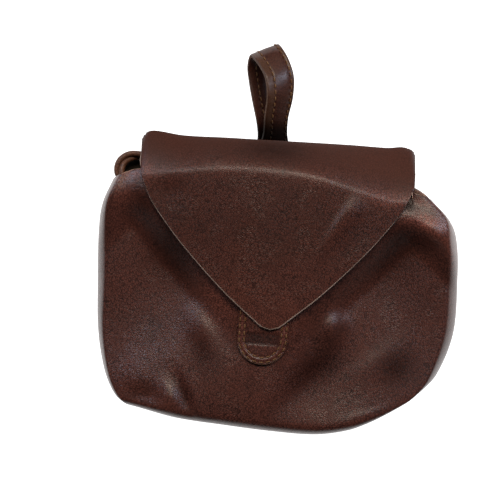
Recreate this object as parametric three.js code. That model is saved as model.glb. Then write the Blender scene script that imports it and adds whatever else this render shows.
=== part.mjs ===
// Soft leather clutch bag lying on its back: hollow pouch, rolled flap, wrist loop, patch and drawcord.
// Millimetres. X runs across the bag, Y runs up the bag towards its loop, Z runs up from the floor.
import * as THREE from "three";
import { mergeVertices } from "three/addons/utils/BufferGeometryUtils.js";

// Leather thicknesses and the gap left between neighbouring pieces
const POUCH_WALL = 1.8;
const FLAP_THICKNESS = 2.0;
const LOOP_THICKNESS = 2.6;
const PATCH_THICKNESS = 1.4;
const PIECE_GAP = 0.55;
const MERGE_DISTANCE = 0.001;

// Pouch: side outlines, height of the side line and crown height, a row for each level from bottom to mouth
const POUCH_LEVELS = [
  { level: 0, leftX: -89.6, leftY: -95, rightX: 75.2, rightY: -93.6, sideZ: 9, crownZ: 42.4 },
  { level: 0.06, leftX: -95.7, leftY: -88.6, rightX: 84, rightY: -88.4, sideZ: 10, crownZ: 43 },
  { level: 0.15, leftX: -100.8, leftY: -76, rightX: 93.6, rightY: -79, sideZ: 11, crownZ: 43.2 },
  { level: 0.32, leftX: -104.4, leftY: -53, rightX: 103.2, rightY: -55, sideZ: 12, crownZ: 43 },
  { level: 0.52, leftX: -104.6, leftY: -25, rightX: 105.5, rightY: -24, sideZ: 13, crownZ: 42.6 },
  { level: 0.72, leftX: -104, leftY: 2.5, rightX: 104.9, rightY: -2.5, sideZ: 14, crownZ: 42.4 },
  { level: 0.87, leftX: -101.7, leftY: 20, rightX: 101.2, rightY: 8.6, sideZ: 15, crownZ: 41.6 },
  { level: 1, leftX: -95.2, leftY: 34.7, rightX: 92.3, rightY: 18.2, sideZ: 16, crownZ: 39.4 },
];
// Widths of the rounded rims along the pouch's two sides, by level
const POUCH_RIMS = [
  { level: 0, left: 4.5, right: 7 },
  { level: 0.15, left: 4.2, right: 8 },
  { level: 0.35, left: 4.8, right: 8 },
  { level: 0.52, left: 6, right: 8 },
  { level: 0.72, left: 6, right: 8 },
  { level: 0.87, left: 5.5, right: 6.5 },
  { level: 1, left: 6.5, right: 7 },
];
const SIDE_RIM_POWER = 1.5;
// Pouch bottom edge: drop below the line between the bottom corners, by share of the width
const BOTTOM_EDGE = [
  { share: 0, drop: 0 },
  { share: 0.06, drop: 2.6 },
  { share: 0.2, drop: 8.9 },
  { share: 0.35, drop: 12.8 },
  { share: 0.52, drop: 16.8 },
  { share: 0.67, drop: 19 },
  { share: 0.78, drop: 17.1 },
  { share: 0.85, drop: 13.3 },
  { share: 0.92, drop: 7.7 },
  { share: 1, drop: 0 },
];
// Pouch mouth: rise of the front edge over the line between the shoulders, and how far the back edge
// stands beyond it
const MOUTH_EDGE = [
  { share: 0, rise: 0, backBeyond: 0 },
  { share: 0.03, rise: 2.6, backBeyond: 6.5 },
  { share: 0.08, rise: 6.4, backBeyond: 9 },
  { share: 0.28, rise: 10.4, backBeyond: 6.5 },
  { share: 0.5, rise: 12.4, backBeyond: 5.8 },
  { share: 0.72, rise: 10.8, backBeyond: 7.7 },
  { share: 0.9, rise: 7, backBeyond: 5.7 },
  { share: 0.97, rise: 4, backBeyond: 3.5 },
  { share: 1, rise: 0, backBeyond: 0 },
];
// Dents and folds of the front panel: middle, direction, half length, widths of the left and right flank,
// and height
const FRONT_FOLDS = [
  { x: -62, y: -68, turn: 20, length: 17, left: 12, right: 12, height: 0.7 },
  { x: -43.5, y: -48, turn: -70, length: 12, left: 6, right: 8, height: 1.6 },
  { x: -52, y: -92, turn: -70, length: 12, left: 3, right: 6, height: -2.4 },
  { x: -61, y: -90, turn: -58, length: 9, left: 6, right: 14, height: 2.8 },
  { x: -80, y: -80, turn: 80, length: 14, left: 13, right: 13, height: 1 },
  { x: -75, y: -90, turn: -6, length: 14, left: 6, right: 6, height: -1.5 },
  { x: 31, y: -50, turn: -25, length: 6, left: 8, right: 10, height: 4 },
  { x: 18, y: -84, turn: 44, length: 30, left: 11, right: 26, height: -4 },
  { x: 57, y: -70, turn: 36, length: 22, left: 6, right: 9, height: 0.6 },
  { x: 48, y: -101, turn: 16, length: 14, left: 2.6, right: 5, height: 0.5 },
  { x: 86, y: 3, turn: -14, length: 15, left: 11, right: 8, height: 4.8 },
];
// Steps down outside the flap's two edges: line of the edge, side of it, and shares of the line where
// the step starts, is full, wanes and ends
const FRONT_STEPS = [
  { fromX: -74, fromY: 25, toX: -10, toY: -52, side: -1, start: -0.16, full: 0.1, wane: 0.36, end: 1.15 },
  { fromX: 77, fromY: 20, toX: 3, toY: -52, side: 1, start: 0.02, full: 0.18, wane: 0.3, end: 1.4 },
];
const STEP_FALL = { drop: 11, inner: -1, outer: 20 };
const BOTTOM_RIM_POWER = 4;
const FRONT_BOTTOM_LEVEL = 0.08;
const BACK_ROUNDING = 4;
const BACK_FLATNESS = 1.03;
const BOTTOM_ROUND_LEVEL = 0.22;
const CROWN_FALL = 0.0003;
const CROWN_FALL_LEFT_AT_MOUTH = 0.5;
const BACK_LIFT = { height: 9.5, fromY: -28, toY: 30 };
const MOUTH_GATHERS = { count: 5, depth: 1.2, fromLevel: 0.82 };
const BACK_BEYOND_FROM_LEVEL = 0.78;
const POUCH_COLUMNS = 30;
const POUCH_ROWS = 22;
// Search for the front panel's height at a place: height of all levels together, and number of steps
const SEARCH = { levelsHeight: 132, steps: 40 };

// Flap: placed by the middle of its top line and turned a little clockwise
const FLAP_MIDDLE = { x: 1.2, y: 55.8 };
const FLAP_TURN = THREE.MathUtils.degToRad(-3);
const FLAP_HALF_WIDTH = 79.4;
const FLAP_BACK_HALF_WIDTH = 71;
const FLAP_ROOT_DROP = 50;
const FLAP_BACK_RADIUS = 11;
const FLAP_ROLL_SHARPNESS = 1.8;
const FLAP_CREST = { z: 48.4, fall: 0.0007, bow: 0.0002, bowAt: 55 };
// Flap roll by place across: distance from the top line to the crest, flare and height of the top line
const FLAP_ROLL = [
  { across: -79.4, depth: 24, flare: -3.4, lineZ: 31 },
  { across: -77, depth: 24, flare: 0.6, lineZ: 32 },
  { across: -72, depth: 23.5, flare: 2.3, lineZ: 32 },
  { across: -55, depth: 21, flare: 0.4, lineZ: 33 },
  { across: -30, depth: 18, flare: 0.2, lineZ: 35.5 },
  { across: -5, depth: 18.2, flare: 0, lineZ: 35.5 },
  { across: 20, depth: 20.5, flare: 0, lineZ: 33.5 },
  { across: 42, depth: 26, flare: 0, lineZ: 30 },
  { across: 63, depth: 31.5, flare: -0.3, lineZ: 27 },
  { across: 71, depth: 32, flare: 0.6, lineZ: 26 },
  { across: 77, depth: 31, flare: -0.9, lineZ: 26 },
  { across: 79.4, depth: 30, flare: -4.5, lineZ: 25 },
];
// Flap front edge by distance from its middle line: drop below the top line
const FLAP_EDGE = [
  { aside: 0, drop: 107.9 },
  { aside: 5, drop: 106.5 },
  { aside: 10, drop: 102.6 },
  { aside: 28, drop: 87.2 },
  { aside: 50, drop: 64.8 },
  { aside: 64, drop: 48 },
  { aside: 72.5, drop: 35.5 },
  { aside: 77.5, drop: 23 },
  { aside: 79.4, drop: 13.5 },
];
// Soft ridges and hollows of the flap in the flap's own directions, with the same columns
const FLAP_FOLDS = [
  { x: 39, y: -40, turn: 60, length: 20, left: 2.6, right: 7, height: 1.5 },
  { x: -62, y: -30, turn: 80, length: 14, left: 9, right: 9, height: -0.7 },
  { x: 42, y: -68, turn: 45, length: 16, left: 5, right: 5, height: 0.3 },
];
const FLAP_FOLDS_FADE = 12;
const FLAP_COLUMNS = 30;
const FLAP_ROWS = 22;

// Wrist loop: outer face of the band along its middle, from the front root over the bend to the back root
const LOOP_WIDTH = 18;
const LOOP_STATIONS = [
  { x: -2.2, y: 22, z: 6, roll: 0, skew: 0 },
  { x: -2.1, y: 40, z: 6.1, roll: 0, skew: 0 },
  { x: -1.9, y: 46, z: 6.3, roll: 1, skew: 0 },
  { x: -1.2, y: 52, z: 7.5, roll: 9, skew: 0 },
  { x: -0.1, y: 61, z: 12.6, roll: 41, skew: 0 },
  { x: 0.4, y: 70, z: 18.6, roll: 42, skew: 0 },
  { x: 2.4, y: 82, z: 25, roll: 35, skew: 1 },
  { x: 1.9, y: 93, z: 25.4, roll: 24, skew: 5 },
  { x: -1.3, y: 101.6, z: 23.2, roll: 15, skew: 13 },
  { x: -5.2, y: 108, z: 19.4, roll: 9, skew: 20 },
  { x: -7.7, y: 110.6, z: 13.8, roll: 7, skew: 22 },
  { x: -8.9, y: 103, z: 7.2, roll: 13, skew: 13 },
  { x: -8.2, y: 92, z: 5.4, roll: 22, skew: 3 },
  { x: -6.8, y: 80, z: 5.6, roll: 30, skew: 0 },
  { x: -5, y: 68, z: 5.9, roll: 36, skew: 0 },
  { x: -4.2, y: 61, z: 5.3, roll: 35, skew: 0 },
  { x: -3.1, y: 52, z: 1.8, roll: 9, skew: 0 },
  { x: -2.4, y: 46, z: 0.5, roll: 1, skew: 0 },
  { x: -2.1, y: 40, z: 0.3, roll: 0, skew: 0 },
  { x: -2.2, y: 22, z: 0.3, roll: 0, skew: 0 },
];
const LOOP_COLUMNS = 4;
const LOOP_ROWS = 76;

// Patch: a tongue with a round lower end, sewn on the front panel
const PATCH_MIDDLE = { x: -8.6, y: -57 };
const PATCH_TURN = THREE.MathUtils.degToRad(-4);
const PATCH_RADIUS = 14.6;
const PATCH_STRAIGHT = 18;
const PATCH_COLUMNS = 12;
const PATCH_ROWS = 10;

// Drawcord: two strands twisted together, along the back edge of the mouth, ends tucked in behind the
// front panel
const CORD_RADIUS = 3.3;
const CORD_WAIST = 0.72;
const CORD_PITCH = 60;
const CORD_SIDE_BY_SIDE = 18;
const CORD_SIDES = 10;
const CORD_STEPS = 68;
const CORD_PATH = [
  { x: -84.5, y: 27, z: 20 },
  { x: -88.6, y: 33, z: 19.6 },
  { x: -91.4, y: 38.8, z: 19.8 },
  { x: -90.2, y: 44.2, z: 19.2 },
  { x: -86, y: 47.6, z: 17.6 },
  { x: -79, y: 48.4, z: 16.4 },
  { x: -62, y: 46.8, z: 15.6 },
  { x: -30, y: 44.6, z: 15.2 },
  { x: 2, y: 42.4, z: 15.2 },
  { x: 36, y: 39, z: 15.2 },
  { x: 62, y: 33.6, z: 15.4 },
  { x: 76, y: 28.6, z: 16.2 },
  { x: 82.6, y: 23.6, z: 17.6 },
  { x: 85.4, y: 18.2, z: 19 },
  { x: 84.6, y: 11.5, z: 19.6 },
];

// Leather finishes
const LEATHER = { color: 0x4a2d24, roughness: 0.55, metalness: 0 };
const LOOP_LEATHER = { color: 0x43281f, roughness: 0.5, metalness: 0 };
const CORD_LEATHER = { color: 0x452f27, roughness: 0.6, metalness: 0 };

const lerp = THREE.MathUtils.lerp;
const smoothStep = (value, from, to) => THREE.MathUtils.smoothstep(value, from, to);

// One column of a table read at a place between its rows, as a smooth curve through them.
function readTable(rows, key, place, column) {
  const last = rows.length - 1;
  const at = Math.min(Math.max(place, rows[0][key]), rows[last][key]);
  let low = 0;
  while (low < last - 1 && at > rows[low + 1][key]) {
    low += 1;
  }
  const slope = (index) => {
    const before = rows[Math.max(index - 1, 0)];
    const after = rows[Math.min(index + 1, last)];
    return (after[column] - before[column]) / (after[key] - before[key]);
  };
  const span = rows[low + 1][key] - rows[low][key];
  const t = (at - rows[low][key]) / span;
  const eased = 3 * t ** 2 - 2 * t ** 3;
  const lowBend = t ** 3 - 2 * t ** 2 + t;
  const highBend = t ** 3 - t ** 2;
  const middle = (1 - eased) * rows[low][column] + eased * rows[low + 1][column];
  return middle + span * (lowBend * slope(low) + highBend * slope(low + 1));
}

// Height that a table of soft folds adds at a place.
function foldHeight(folds, x, y) {
  return folds.reduce((sum, fold) => {
    const turn = THREE.MathUtils.degToRad(fold.turn);
    const along = (x - fold.x) * Math.cos(turn) + (y - fold.y) * Math.sin(turn);
    const aside = (y - fold.y) * Math.cos(turn) - (x - fold.x) * Math.sin(turn);
    const width = aside > 0 ? fold.left : fold.right;
    return sum + fold.height * Math.exp(-((along / fold.length) ** 2) - (aside / width) ** 2);
  }, 0);
}

// How far the front panel steps down beside the flap at a place.
function stepDrop(x, y) {
  return FRONT_STEPS.reduce((sum, step) => {
    const length = Math.hypot(step.toX - step.fromX, step.toY - step.fromY);
    const aheadX = (step.toX - step.fromX) / length;
    const aheadY = (step.toY - step.fromY) / length;
    const along = ((x - step.fromX) * aheadX + (y - step.fromY) * aheadY) / length;
    const beside = step.side * ((y - step.fromY) * aheadX - (x - step.fromX) * aheadY);
    const fade = smoothStep(along, step.start, step.full) * (1 - smoothStep(along, step.wane, step.end));
    return sum + STEP_FALL.drop * fade * smoothStep(beside, STEP_FALL.inner, STEP_FALL.outer);
  }, 0);
}

// Height of the pouch's back over the floor: flat where it lies, lifted near the mouth by the flap and the
// loop's root.
function backHeight(y) {
  return BACK_LIFT.height * smoothStep(y, BACK_LIFT.fromY, BACK_LIFT.toY);
}

// Plan of the pouch at a share of its width and a level, the same for both panels.
function pouchPlan(share, level) {
  const read = (column) => readTable(POUCH_LEVELS, "level", level, column);
  const rise = readTable(MOUTH_EDGE, "share", share, "rise");
  const drop = readTable(BOTTOM_EDGE, "share", share, "drop");
  return {
    x: lerp(read("leftX"), read("rightX"), share),
    y: lerp(read("leftY"), read("rightY"), share) + level * rise - (1 - level) * drop,
    sideZ: read("sideZ"),
    crownZ: read("crownZ"),
    rim: readTable(POUCH_RIMS, "level", level, share < 0.5 ? "left" : "right"),
    width: read("rightX") - read("leftX"),
  };
}

// How far a place stands in from the pouch's sides and bottom, 0 on the outline and 1 well inside.
function roundingAt(share, level, power) {
  const aside = Math.abs(2 * share - 1);
  const low = Math.max(0, 1 - level / BOTTOM_ROUND_LEVEL);
  return Math.max(0, (1 - aside ** power) * (1 - low ** power)) ** (1 / power);
}

// How far a place on the front stands in from the rim, 0 on the outline and 1 on the panel.
function frontRounding(plan, share, level) {
  const fromSide = Math.min(share, 1 - share) * plan.width;
  const side = THREE.MathUtils.clamp(1 - fromSide / plan.rim, 0, 1);
  const low = THREE.MathUtils.clamp(1 - level / FRONT_BOTTOM_LEVEL, 0, 1);
  const sideRounding = (1 - side ** SIDE_RIM_POWER) ** (1 / SIDE_RIM_POWER);
  return sideRounding * (1 - low ** BOTTOM_RIM_POWER) ** (1 / BOTTOM_RIM_POWER);
}

function pouchFront(share, level) {
  const plan = pouchPlan(share, level);
  const turn = Math.acos(1 - 2 * share);
  const gather = MOUTH_GATHERS.depth * Math.sin(2 * MOUTH_GATHERS.count * turn);
  const gathered = gather * smoothStep(level, MOUTH_GATHERS.fromLevel, 1);
  const crown = plan.crownZ - CROWN_FALL * plan.x ** 2 * lerp(1, CROWN_FALL_LEFT_AT_MOUTH, level);
  const panel = crown + foldHeight(FRONT_FOLDS, plan.x, plan.y) - stepDrop(plan.x, plan.y) + gathered;
  const z = lerp(plan.sideZ, panel, frontRounding(plan, share, level));
  return new THREE.Vector3(plan.x, plan.y, z);
}

function pouchBack(share, level) {
  const plan = pouchPlan(share, level);
  const beyond = readTable(MOUTH_EDGE, "share", share, "backBeyond");
  const y = plan.y + beyond * smoothStep(level, BACK_BEYOND_FROM_LEVEL, 1);
  const rounding = Math.min(1, BACK_FLATNESS * roundingAt(share, level, BACK_ROUNDING));
  return new THREE.Vector3(plan.x, y, lerp(plan.sideZ, backHeight(y), rounding));
}

// Front panel height at a place in plan, found by closing in on its share and level.
function pouchFrontHeight(x, y) {
  let share = 0.5;
  let level = 0.5;
  for (let step = 0; step < SEARCH.steps; step += 1) {
    const left = readTable(POUCH_LEVELS, "level", level, "leftX");
    const right = readTable(POUCH_LEVELS, "level", level, "rightX");
    share = (x - left) / (right - left);
    const short = y - pouchPlan(share, level).y;
    level = THREE.MathUtils.clamp(level + short / SEARCH.levelsHeight, 0, 1);
  }
  return pouchFront(share, level).z;
}

// Open surface over a grid of points; the faces point to the side that sees the columns run left to right
// and the rows run up.
function gridSurface(columns, rows, pointAt) {
  const positions = [];
  const indices = [];
  for (let row = 0; row <= rows; row += 1) {
    for (let column = 0; column <= columns; column += 1) {
      positions.push(...pointAt(column / columns, row / rows).toArray());
    }
  }
  for (let row = 0; row < rows; row += 1) {
    for (let column = 0; column < columns; column += 1) {
      const corner = row * (columns + 1) + column;
      const above = corner + columns + 1;
      indices.push(corner, corner + 1, above + 1, corner, above + 1, above);
    }
  }
  const surface = new THREE.BufferGeometry();
  surface.setAttribute("position", new THREE.Float32BufferAttribute(positions, 3));
  surface.setIndex(indices);
  return mergeVertices(surface, MERGE_DISTANCE);
}

// Closed solid: an open surface, a copy of it set in by the thickness, and a rim along the open edges.
function thicken(surface, thickness) {
  surface.computeVertexNormals();
  const outer = surface.getAttribute("position");
  const normals = surface.getAttribute("normal");
  const faces = [...surface.index.array];
  const positions = [...outer.array];
  for (let vertex = 0; vertex < outer.count; vertex += 1) {
    const point = new THREE.Vector3().fromBufferAttribute(outer, vertex);
    const normal = new THREE.Vector3().fromBufferAttribute(normals, vertex);
    positions.push(...point.addScaledVector(normal, -thickness).toArray());
  }
  const edges = new Map();
  for (let corner = 0; corner < faces.length; corner += 3) {
    for (let side = 0; side < 3; side += 1) {
      const from = faces[corner + side];
      const to = faces[corner + ((side + 1) % 3)];
      edges.set(`${from} ${to}`, [from, to]);
    }
  }
  const indices = [...faces];
  for (let corner = 0; corner < faces.length; corner += 3) {
    const [a, b, c] = faces.slice(corner, corner + 3);
    indices.push(a + outer.count, c + outer.count, b + outer.count);
  }
  for (const [from, to] of edges.values()) {
    if (!edges.has(`${to} ${from}`)) {
      indices.push(to, from, from + outer.count, to, from + outer.count, to + outer.count);
    }
  }
  const solid = new THREE.BufferGeometry();
  solid.setAttribute("position", new THREE.Float32BufferAttribute(positions, 3));
  solid.setIndex(indices);
  return solid;
}

// Pouch: one turn round is the front panel left to right, then the back panel right to left.
function pouchGeometry() {
  const share = (turn) => 0.5 - 0.5 * Math.cos(Math.PI * turn);
  const level = (row) => 1 - Math.cos((Math.PI / 2) * row);
  const pointAt = (turn, row) =>
    turn <= 0.5 ? pouchFront(share(2 * turn), level(row)) : pouchBack(share(2 - 2 * turn), level(row));
  return thicken(gridSurface(2 * POUCH_COLUMNS, POUCH_ROWS, pointAt), POUCH_WALL);
}

// Place on the flap in plan: aside from its middle line and below its top line, turned with the flap.
function flapPlan(aside, drop) {
  return {
    x: FLAP_MIDDLE.x + aside * Math.cos(FLAP_TURN) + drop * Math.sin(FLAP_TURN),
    y: FLAP_MIDDLE.y + aside * Math.sin(FLAP_TURN) - drop * Math.cos(FLAP_TURN),
  };
}

// Height of the flap's outer face on the front, and under the pouch's back.
function flapFrontHeight(aside, drop) {
  return FLAP_CREST.z - FLAP_CREST.fall * aside ** 2 - FLAP_CREST.bow * (drop - FLAP_CREST.bowAt) ** 2;
}

function flapBackHeight(aside, drop) {
  return backHeight(flapPlan(aside, drop).y) - PIECE_GAP - FLAP_THICKNESS;
}

// Point of the flap's outer face: across from -1 to 1, along from the root on the back to the edge on the
// front.
function flapPoint(across, along) {
  const aside = across * FLAP_HALF_WIDTH;
  const backAside = across * FLAP_BACK_HALF_WIDTH;
  const depth = readTable(FLAP_ROLL, "across", aside, "depth");
  const flare = readTable(FLAP_ROLL, "across", aside, "flare");
  const lineZ = readTable(FLAP_ROLL, "across", aside, "lineZ");
  const edgeDrop = readTable(FLAP_EDGE, "aside", Math.abs(aside), "drop");
  const quarter = Math.PI / 2;
  const endAngle = Math.asin(Math.max(0, 1 - edgeDrop / depth) ** (1 / FLAP_ROLL_SHARPNESS));
  const backRun = FLAP_ROOT_DROP - FLAP_BACK_RADIUS;
  const backArc = quarter * Math.hypot(FLAP_BACK_RADIUS, lineZ) * Math.SQRT1_2;
  const frontArc = (quarter - endAngle) * Math.hypot(depth, FLAP_CREST.z - lineZ) * Math.SQRT1_2;
  const frontRun = Math.max(0, edgeDrop - depth);
  const run = along * (backRun + backArc + frontArc + frontRun);
  const intoBackArc = run - backRun;
  const intoFrontArc = intoBackArc - backArc;
  const intoFront = intoFrontArc - frontArc;
  if (intoBackArc <= 0) {
    const drop = FLAP_ROOT_DROP - run;
    const plan = flapPlan(backAside, drop);
    return new THREE.Vector3(plan.x, plan.y, flapBackHeight(backAside, drop));
  }
  if (intoFrontArc <= 0) {
    const angle = (quarter * intoBackArc) / backArc;
    const plan = flapPlan(
      lerp(aside, backAside, Math.cos(angle)),
      FLAP_BACK_RADIUS - (FLAP_BACK_RADIUS + flare) * Math.sin(angle),
    );
    const low = flapBackHeight(backAside, FLAP_BACK_RADIUS);
    return new THREE.Vector3(plan.x, plan.y, lerp(lineZ, low, Math.cos(angle)));
  }
  if (intoFront <= 0) {
    const angle = quarter - ((quarter - endAngle) * intoFrontArc) / frontArc;
    const plan = flapPlan(aside, depth - (depth + flare) * Math.sin(angle) ** FLAP_ROLL_SHARPNESS);
    const share = Math.max(0, Math.cos(angle)) ** FLAP_ROLL_SHARPNESS;
    return new THREE.Vector3(plan.x, plan.y, lerp(lineZ, flapFrontHeight(aside, depth), share));
  }
  const drop = depth + intoFront;
  const plan = flapPlan(aside, drop);
  const folds = foldHeight(FLAP_FOLDS, aside, -drop) * smoothStep(intoFront, 0, FLAP_FOLDS_FADE);
  return new THREE.Vector3(plan.x, plan.y, flapFrontHeight(aside, drop) + folds);
}

// Flap: its columns stand closer together at its middle and at its sides, where its edge turns most.
function flapGeometry() {
  const across = (column) => 1 - 2 * column - Math.sin(4 * Math.PI * (0.5 - column)) / (4 * Math.PI);
  const pointAt = (column, row) => flapPoint(across(column), row);
  return thicken(gridSurface(FLAP_COLUMNS, FLAP_ROWS, pointAt), FLAP_THICKNESS);
}

// Band between two edge curves that are worked out from the stations' middle, roll and skew.
function loopGeometry() {
  const railPoints = (side) =>
    LOOP_STATIONS.map((station) => {
      const roll = THREE.MathUtils.degToRad(station.roll);
      const skew = THREE.MathUtils.degToRad(station.skew);
      const reach = (side * LOOP_WIDTH) / 2;
      return new THREE.Vector3(
        station.x + reach * Math.cos(roll) * Math.cos(skew),
        station.y + reach * Math.cos(roll) * Math.sin(skew),
        station.z - reach * Math.sin(roll),
      );
    });
  const left = new THREE.CatmullRomCurve3(railPoints(-1));
  const right = new THREE.CatmullRomCurve3(railPoints(1));
  const pointAt = (column, row) => left.getPoint(row).lerp(right.getPoint(row), column);
  return thicken(gridSurface(LOOP_COLUMNS, LOOP_ROWS, pointAt), LOOP_THICKNESS);
}

function patchGeometry() {
  const lift = PIECE_GAP + PATCH_THICKNESS;
  const pointAt = (column, row) => {
    const aside = PATCH_RADIUS * Math.sin(Math.PI * (column - 0.5));
    const lowest = -Math.sqrt(Math.max(0, PATCH_RADIUS ** 2 - aside ** 2));
    const upright = lerp(lowest, PATCH_STRAIGHT, row);
    const x = PATCH_MIDDLE.x + aside * Math.cos(PATCH_TURN) - upright * Math.sin(PATCH_TURN);
    const y = PATCH_MIDDLE.y + aside * Math.sin(PATCH_TURN) + upright * Math.cos(PATCH_TURN);
    return new THREE.Vector3(x, y, pouchFrontHeight(x, y) + lift);
  };
  return thicken(gridSurface(PATCH_COLUMNS, PATCH_ROWS, pointAt), PATCH_THICKNESS);
}

// Two-strand section turned along the path, with a fan of triangles on each end.
function cordGeometry() {
  const curve = new THREE.CatmullRomCurve3(CORD_PATH.map((row) => new THREE.Vector3(row.x, row.y, row.z)));
  const length = curve.getLength();
  const across = curve.getTangentAt(0).cross(new THREE.Vector3(0, 0, 1)).normalize();
  const positions = [];
  const indices = [];
  for (let step = 0; step <= CORD_STEPS; step += 1) {
    const middle = curve.getPointAt(step / CORD_STEPS);
    const ahead = curve.getTangentAt(step / CORD_STEPS);
    across.addScaledVector(ahead, -across.dot(ahead)).normalize();
    const up = ahead.clone().cross(across);
    const twist = (2 * Math.PI * ((length * step) / CORD_STEPS - CORD_SIDE_BY_SIDE)) / CORD_PITCH;
    for (let side = 0; side < CORD_SIDES; side += 1) {
      const angle = (2 * Math.PI * side) / CORD_SIDES;
      const reach = CORD_RADIUS * (1 - (1 - CORD_WAIST) * Math.sin(angle) ** 2);
      const point = middle.clone();
      point.addScaledVector(across, reach * Math.cos(angle + twist));
      point.addScaledVector(up, reach * Math.sin(angle + twist));
      positions.push(...point.toArray());
    }
  }
  for (let step = 0; step < CORD_STEPS; step += 1) {
    for (let side = 0; side < CORD_SIDES; side += 1) {
      const a = step * CORD_SIDES + side;
      const b = step * CORD_SIDES + ((side + 1) % CORD_SIDES);
      indices.push(a, b, b + CORD_SIDES, a, b + CORD_SIDES, a + CORD_SIDES);
    }
  }
  const lastRing = CORD_STEPS * CORD_SIDES;
  for (let side = 1; side < CORD_SIDES - 1; side += 1) {
    indices.push(0, side + 1, side);
    indices.push(lastRing, lastRing + side, lastRing + side + 1);
  }
  const solid = new THREE.BufferGeometry();
  solid.setAttribute("position", new THREE.Float32BufferAttribute(positions, 3));
  solid.setIndex(indices);
  return solid;
}

function piece(name, geometry, finish) {
  const mesh = new THREE.Mesh(geometry, new THREE.MeshStandardMaterial(finish));
  mesh.name = name;
  return mesh;
}

const bag = new THREE.Group();
bag.add(
  piece("pouch", pouchGeometry(), LEATHER),
  piece("flap", flapGeometry(), LEATHER),
  piece("wrist_loop", loopGeometry(), LOOP_LEATHER),
  piece("patch", patchGeometry(), LEATHER),
  piece("drawcord", cordGeometry(), CORD_LEATHER),
);

export default bag;
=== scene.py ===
"""A soft leather clutch bag lying on its back: the looks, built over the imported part.

Tables and sizes are in millimetres, in the part's frame.
X runs across the bag, Y up the bag and Z up from the floor.
"""

import math

import bpy
import numpy as np
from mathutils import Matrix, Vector


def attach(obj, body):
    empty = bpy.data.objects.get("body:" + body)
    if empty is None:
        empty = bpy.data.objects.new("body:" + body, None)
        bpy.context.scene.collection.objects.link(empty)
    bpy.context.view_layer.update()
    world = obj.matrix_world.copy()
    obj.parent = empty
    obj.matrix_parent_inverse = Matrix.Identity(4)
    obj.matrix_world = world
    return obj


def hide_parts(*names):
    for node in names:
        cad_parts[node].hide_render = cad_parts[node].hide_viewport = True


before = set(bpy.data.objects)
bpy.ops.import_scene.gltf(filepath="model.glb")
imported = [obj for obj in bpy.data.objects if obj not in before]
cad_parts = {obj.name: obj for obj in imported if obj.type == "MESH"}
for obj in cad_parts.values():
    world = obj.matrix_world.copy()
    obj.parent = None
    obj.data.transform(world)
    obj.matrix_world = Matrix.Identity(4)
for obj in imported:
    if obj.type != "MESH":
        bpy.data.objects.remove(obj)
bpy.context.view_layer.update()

MM = 0.001


def table(columns, *rows):
    """A table as one array of numbers for each named column."""
    return dict(zip(columns.split(), np.array(rows, float).T))


# Leather thicknesses and the gap between neighbouring pieces
POUCH_WALL = 1.8
FLAP_THICKNESS = 2.0
LOOP_THICKNESS = 2.6
PATCH_THICKNESS = 1.4
PIECE_GAP = 0.55

# Pouch: side outlines, height of the side line and crown height, a row for each level from bottom to mouth
POUCH_LEVELS = table(
    "level left_x left_y right_x right_y side_z crown_z",
    (0, -89.6, -95, 75.2, -93.6, 9, 42.4),
    (0.06, -95.7, -88.6, 84, -88.4, 10, 43),
    (0.15, -100.8, -76, 93.6, -79, 11, 43.2),
    (0.32, -104.4, -53, 103.2, -55, 12, 43),
    (0.52, -104.6, -25, 105.5, -24, 13, 42.6),
    (0.72, -104, 2.5, 104.9, -2.5, 14, 42.4),
    (0.87, -101.7, 20, 101.2, 8.6, 15, 41.6),
    (1, -95.2, 34.7, 92.3, 18.2, 16, 39.4),
)
# Widths of the rounded rims along the pouch's two sides, by level
POUCH_RIMS = table(
    "level left right",
    (0, 4.5, 7),
    (0.15, 4.2, 8),
    (0.35, 4.8, 8),
    (0.52, 6, 8),
    (0.72, 6, 8),
    (0.87, 5.5, 6.5),
    (1, 6.5, 7),
)
SIDE_RIM_POWER = 1.5
# Bottom edge: drop below the line between the bottom corners, by share of the width
BOTTOM_EDGE = table(
    "share drop",
    (0, 0),
    (0.06, 2.6),
    (0.2, 8.9),
    (0.35, 12.8),
    (0.52, 16.8),
    (0.67, 19),
    (0.78, 17.1),
    (0.85, 13.3),
    (0.92, 7.7),
    (1, 0),
)
# Mouth: rise of the front edge over the line between the shoulders, and reach of the back edge beyond
MOUTH_EDGE = table(
    "share rise back_beyond",
    (0, 0, 0),
    (0.03, 2.6, 6.5),
    (0.08, 6.4, 9),
    (0.28, 10.4, 6.5),
    (0.5, 12.4, 5.8),
    (0.72, 10.8, 7.7),
    (0.9, 7, 5.7),
    (0.97, 4, 3.5),
    (1, 0, 0),
)
# Dents and folds of the front panel: middle, turn, half length, widths of its two flanks, and height
FOLD_COLUMNS = "x y turn length left right height"
FRONT_FOLDS = table(
    FOLD_COLUMNS,
    (-62, -68, 20, 17, 12, 12, 0.7),
    (-43.5, -48, -70, 12, 6, 8, 1.6),
    (-52, -92, -70, 12, 3, 6, -2.4),
    (-61, -90, -58, 9, 6, 14, 2.8),
    (-80, -80, 80, 14, 13, 13, 1),
    (-75, -90, -6, 14, 6, 6, -1.5),
    (31, -50, -25, 6, 8, 10, 4),
    (18, -84, 44, 30, 11, 26, -4),
    (57, -70, 36, 22, 6, 9, 0.6),
    (48, -101, 16, 14, 2.6, 5, 0.5),
    (86, 3, -14, 15, 11, 8, 4.8),
)
# Steps down outside the flap's two edges: line of the edge, side of it, and shares of the line where
# the step starts, is full, wanes and ends
FRONT_STEPS = table(
    "from_x from_y to_x to_y side start full wane end",
    (-74, 25, -10, -52, -1, -0.16, 0.1, 0.36, 1.15),
    (77, 20, 3, -52, 1, 0.02, 0.18, 0.3, 1.4),
)
STEP_FALL = {"drop": 11, "inner": -1, "outer": 20}
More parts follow.
